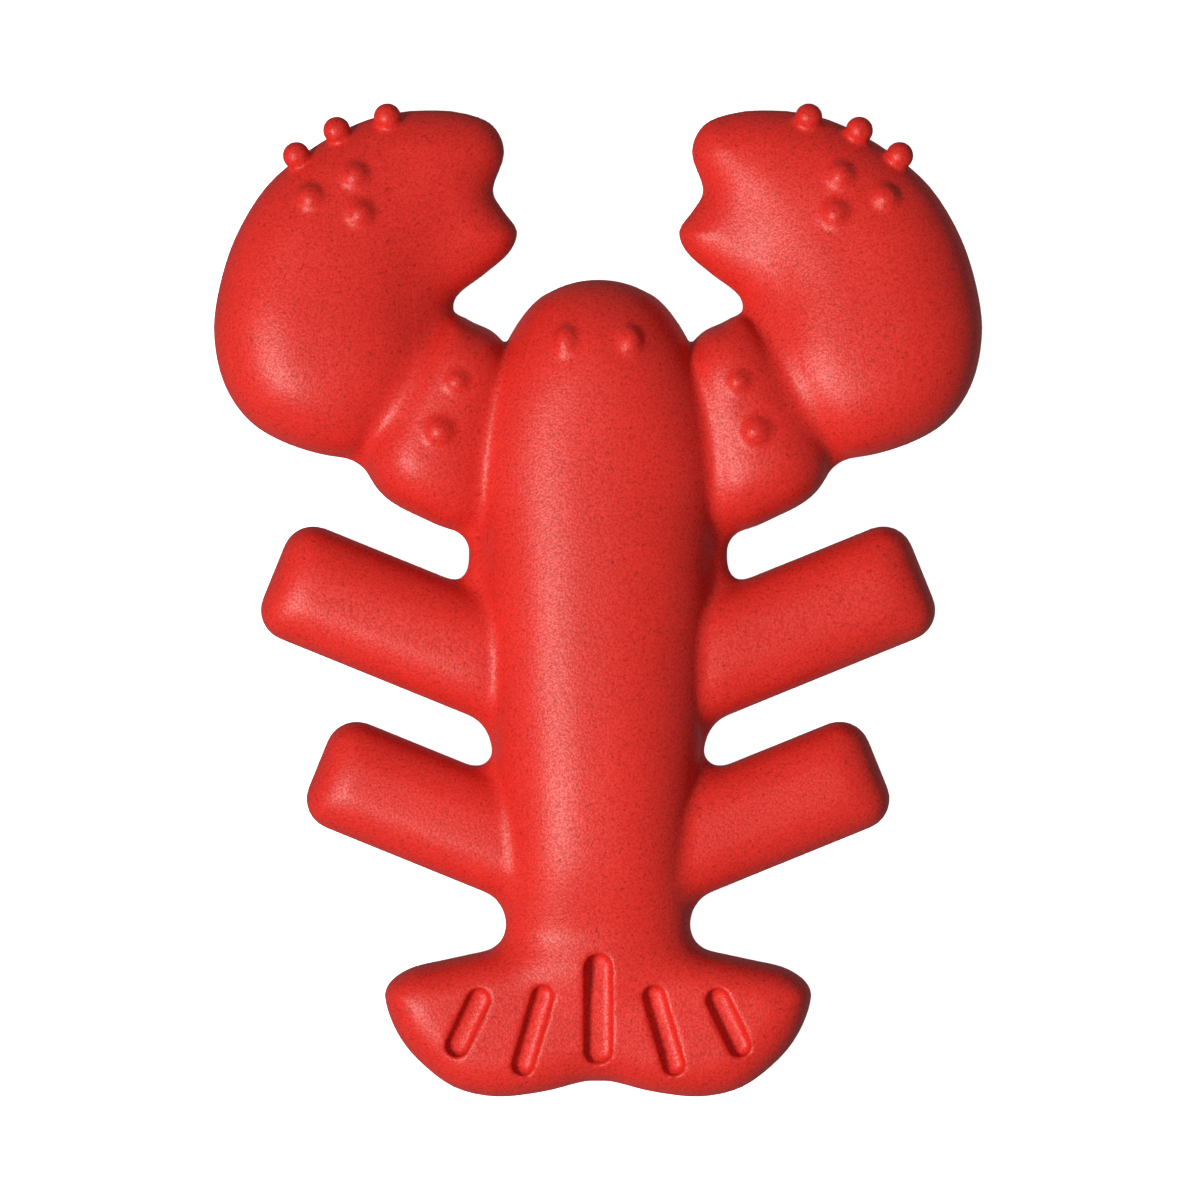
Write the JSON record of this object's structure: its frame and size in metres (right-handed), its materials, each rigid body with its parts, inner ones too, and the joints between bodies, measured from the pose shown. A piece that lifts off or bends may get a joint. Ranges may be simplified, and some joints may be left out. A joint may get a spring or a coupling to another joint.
{
  "type": "lobster cracker",
  "caption": "Lobster-shaped seafood cracker: two hinged red halves with toothed steel jaws at the head, hinges in the claws and the tail as handle.",
  "frame": {"origin": "on the resting surface, under the middle of the closed tool", "axes": "+Y from the tail to the claws, +Z out of the lobster's front (the face the picture shows), +X to the right as seen from the front"},
  "size_m": [0.1274, 0.1651, 0.0278],
  "materials": {
    "red_composite": "matte moulded plant-fibre composite with dark and light flecks",
    "cast_steel": "tumbled stainless steel casting",
    "steel_hardware": "machined stainless steel",
    "brass": "turned brass",
    "rubber": "matte black rubber"
  },
  "bodies": {
    "back_half": {"back_shell": "red_composite", "back_lever": "cast_steel", "hinge_pin_right": "steel_hardware", "hinge_pin_left": "steel_hardware", "bumper_right": "rubber", "bumper_left": "rubber", "back_screw_tail": "steel_hardware", "back_screw_middle": "steel_hardware", "back_screw_right": "steel_hardware", "back_screw_left": "steel_hardware", "back_insert_tail": "brass", "back_insert_middle": "brass", "back_insert_right": "brass", "back_insert_left": "brass"},
    "front_half": {"front_shell": "red_composite", "front_lever": "cast_steel", "front_screw_tail": "steel_hardware", "front_screw_middle": "steel_hardware", "front_screw_right": "steel_hardware", "front_screw_left": "steel_hardware", "front_insert_tail": "brass", "front_insert_middle": "brass", "front_insert_right": "brass", "front_insert_left": "brass"}
  },
  "joints": [
    {"name": "claw_hinge", "type": "hinge", "parent": "back_half", "child": "front_half", "pos_m": [0, 0.064, 0.012], "axis": [-1, 0, 0], "range_deg": [0, 40]}
  ]
}
